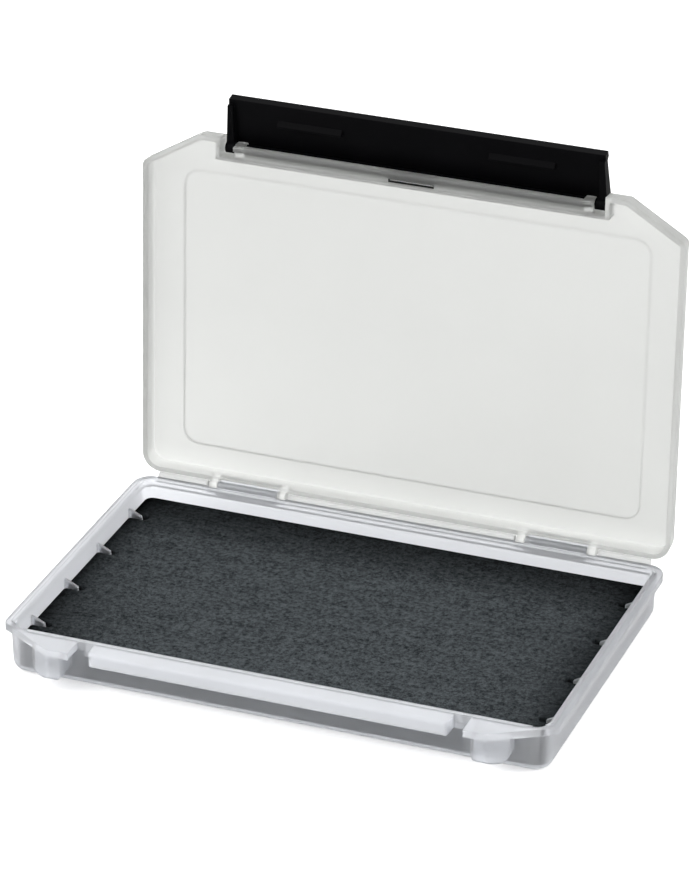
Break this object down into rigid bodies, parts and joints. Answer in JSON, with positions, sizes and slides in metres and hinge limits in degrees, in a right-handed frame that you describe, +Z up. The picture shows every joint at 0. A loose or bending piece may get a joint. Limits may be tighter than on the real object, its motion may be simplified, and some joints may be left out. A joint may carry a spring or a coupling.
{
  "type": "foam-lined tackle case",
  "caption": "Thin translucent case with a foam-lined tray, a hinged lid with chamfered front corners and a wide black latch that pivots on the lid.",
  "frame": {"origin": "centre of the underside of the tray's base", "axes": "+X to the right along the case's width, -Y towards the latch side, +Z up from the base"},
  "size_m": [0.205, 0.1524, 0.1689],
  "materials": {
    "frosted_polypropylene": "injection moulded, translucent, satin",
    "black_polypropylene": "injection moulded, opaque, satin",
    "charcoal_foam": "closed-cell foam with fine rows, matte"
  },
  "bodies": {
    "tray": {"tray": "frosted_polypropylene", "foam_liner": "charcoal_foam"},
    "lid": {"lid": "frosted_polypropylene"},
    "latch": {"latch": "black_polypropylene"}
  },
  "joints": [
    {"name": "lid_hinge", "type": "hinge", "parent": "tray", "child": "lid", "pos_m": [0, 0.0661, 0.0174], "axis": [1, 0, 0], "range_deg": [0, 92.2]},
    {"name": "latch_pivot", "type": "hinge", "parent": "lid", "child": "latch", "pos_m": [0, 0.07628, 0.14961], "axis": [1, 0, 0], "range_deg": [-12.5, 77.5]}
  ]
}
